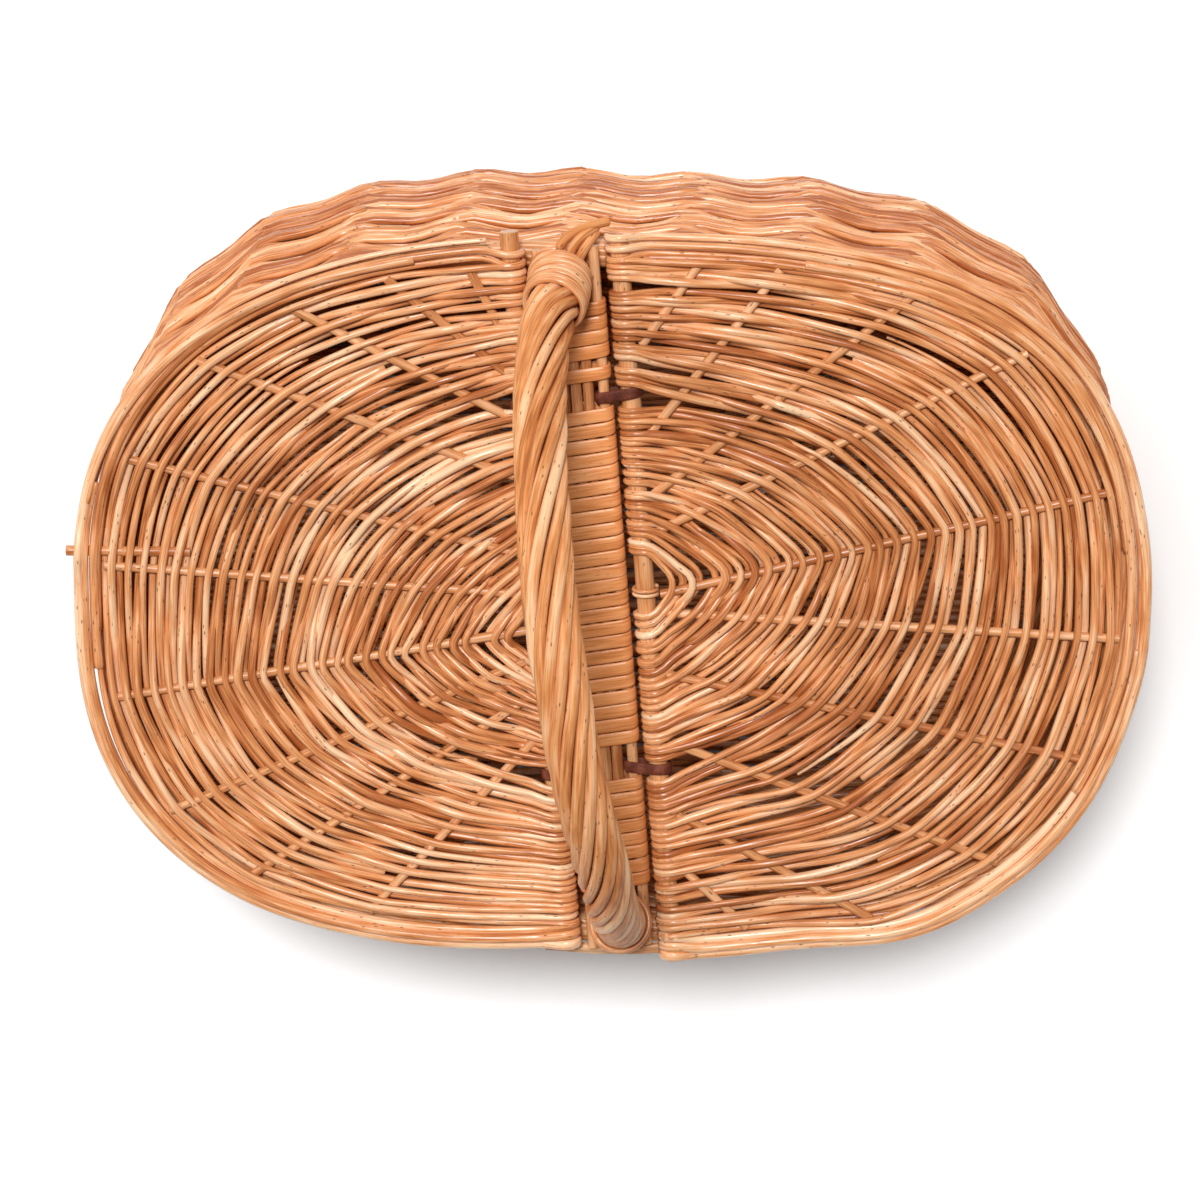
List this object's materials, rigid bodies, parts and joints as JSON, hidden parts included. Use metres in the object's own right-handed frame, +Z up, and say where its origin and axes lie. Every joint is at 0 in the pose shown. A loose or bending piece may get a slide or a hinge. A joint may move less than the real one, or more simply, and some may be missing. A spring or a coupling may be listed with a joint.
{
  "type": "picnic basket",
  "caption": "Oval lidded willow picnic basket: woven wall on stakes, oval base, bound central bridge, hinged lids tied on with leather straps, and a fixed roped bow handle",
  "frame": {"origin": "centre of the bounding box's underside, on the surface that the foot ring stands on", "axes": "+X along the long way of the oval, to the right lid's side; +Y along the short way, to the back end of the handle bridge; +Z up"},
  "size_m": [0.4539, 0.3323, 0.3426],
  "materials": {
    "willow": "buff willow rods, satin",
    "woven_willow": "woven buff willow rods, satin",
    "roped_willow": "twisted buff willow rods, satin",
    "leather": "dark brown leather, matt"
  },
  "bodies": {
    "basket": {"foot_border": "willow", "base_mat": "woven_willow", "base_long_stick_1": "willow", "base_long_stick_2": "willow", "base_long_stick_3": "willow", "base_cross_stick_1": "willow", "base_cross_stick_2": "willow", "base_cross_stick_3": "willow", "base_cross_stick_4": "willow", "base_cross_stick_5": "willow", "upsett_wale": "woven_willow", "wall_weave": "woven_willow", "stakes_and_border": "willow", "handle_bow": "willow", "handle_roping": "roped_willow", "handle_winding_back": "roped_willow", "handle_winding_front": "roped_willow", "bridge_stick_1": "willow", "bridge_stick_2": "willow", "bridge_stick_3": "willow", "bridge_stick_4": "willow", "bridge_stick_5": "willow", "bridge_skein_back": "willow", "bridge_skein_middle": "willow", "bridge_skein_front": "willow", "left_strap_back": "leather", "left_strap_front": "leather", "right_strap_back": "leather", "right_strap_front": "leather"},
    "left_lid": {"left_lid_hinge_stick": "willow", "left_lid_rim": "willow", "left_lid_mat": "woven_willow", "left_lid_tab": "willow", "left_lid_spoke_1": "willow", "left_lid_spoke_2": "willow", "left_lid_spoke_3": "willow", "left_lid_spoke_4": "willow", "left_lid_spoke_5": "willow", "left_lid_spoke_6": "willow", "left_lid_spoke_7": "willow", "left_lid_spoke_8": "willow", "left_lid_spoke_9": "willow", "left_lid_spoke_10": "willow"},
    "right_lid": {"right_lid_hinge_stick": "willow", "right_lid_rim": "willow", "right_lid_mat": "woven_willow", "right_lid_spoke_1": "willow", "right_lid_spoke_2": "willow", "right_lid_spoke_3": "willow", "right_lid_spoke_4": "willow", "right_lid_spoke_5": "willow", "right_lid_spoke_6": "willow", "right_lid_spoke_7": "willow", "right_lid_spoke_8": "willow", "right_lid_spoke_9": "willow", "right_lid_spoke_10": "willow"}
  },
  "joints": [
    {"name": "left_lid_hinge", "type": "hinge", "parent": "basket", "child": "left_lid", "pos_m": [-0.03064, -0.00168, 0.1808], "axis": [-0.075, 0.9972, 0], "range_deg": [0, 70]},
    {"name": "right_lid_hinge", "type": "hinge", "parent": "basket", "child": "right_lid", "pos_m": [0.01404, 0.00168, 0.1808], "axis": [0.075, -0.9972, 0], "range_deg": [0, 92]}
  ]
}
